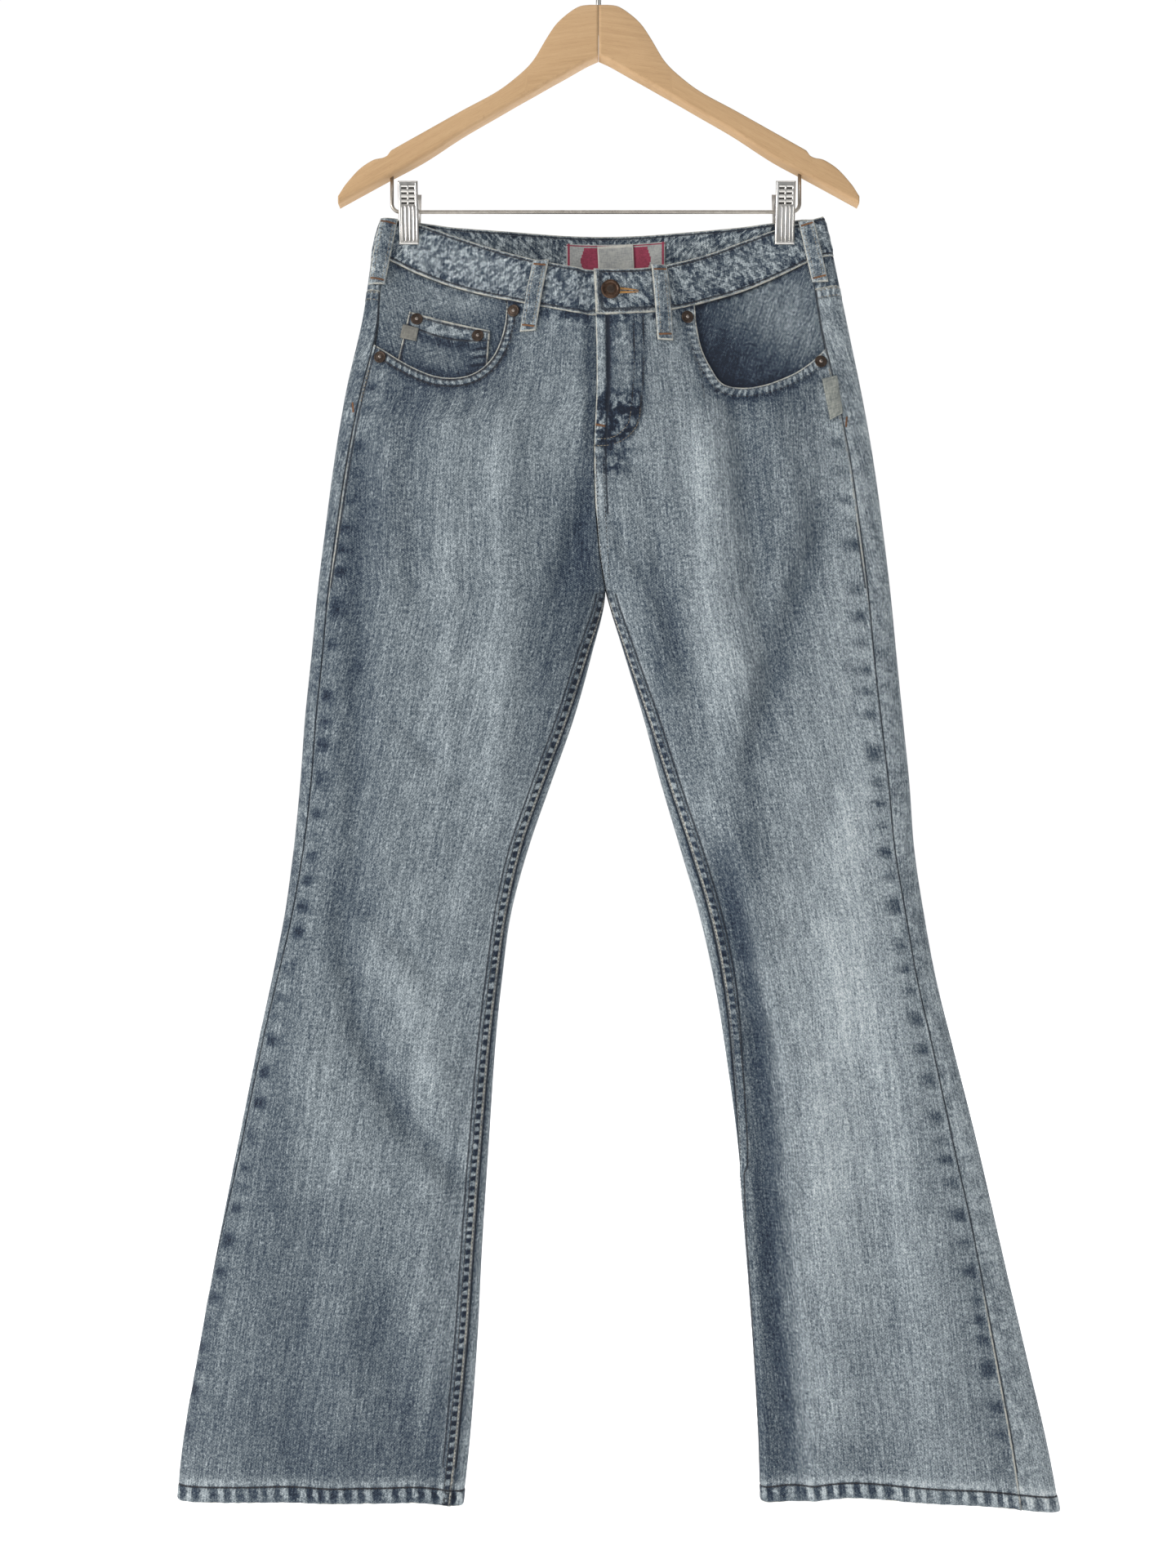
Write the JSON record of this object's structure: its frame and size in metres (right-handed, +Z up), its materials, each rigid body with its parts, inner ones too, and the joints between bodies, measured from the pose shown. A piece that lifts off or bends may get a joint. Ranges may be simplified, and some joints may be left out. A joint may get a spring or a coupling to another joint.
{
  "type": "flared jeans on a clip hanger",
  "caption": "Light-wash flared denim jeans with five pockets, hanging by the waistband from a wooden hanger with two steel clips.",
  "frame": {"origin": "inner side of the hanger hook's crown, where a clothes rail bears", "axes": "+Z up, +X to the right as seen from the front, the jeans' front faces -Y"},
  "size_m": [0.7484, 0.064, 1.3409],
  "materials": {
    "denim": "light-wash twill, matte",
    "wood": "satin lacquer",
    "steel": "polished",
    "copper": "dark antique",
    "tag": "matte woven",
    "label": "matte woven"
  },
  "bodies": {
    "root": {"front_right": "denim", "front_left": "denim", "back_right": "denim", "back_left": "denim", "yoke_right": "denim", "yoke_left": "denim", "waistband": "denim", "pocket_facing_right": "denim", "pocket_facing_left": "denim", "coin_pocket": "denim", "back_pocket_right": "denim", "back_pocket_left": "denim", "belt_loop_1": "denim", "belt_loop_2": "denim", "belt_loop_3": "denim", "belt_loop_4": "denim", "belt_loop_5": "denim", "belt_loop_6": "denim", "belt_loop_7": "denim", "hanger_arm_right": "wood", "hanger_arm_left": "wood", "hanger_hook": "steel", "clip_wire": "steel", "clip_right_front_jaw": "steel", "clip_right_back_jaw": "steel", "clip_right_spring": "steel", "clip_left_front_jaw": "steel", "clip_left_back_jaw": "steel", "clip_left_spring": "steel", "waist_button": "copper", "rivet_1": "copper", "rivet_2": "copper", "rivet_3": "copper", "rivet_4": "copper", "rivet_5": "copper", "rivet_6": "copper", "coin_tag": "tag", "side_label": "tag", "care_label": "tag", "inner_label": "label"}
  },
  "joints": []
}
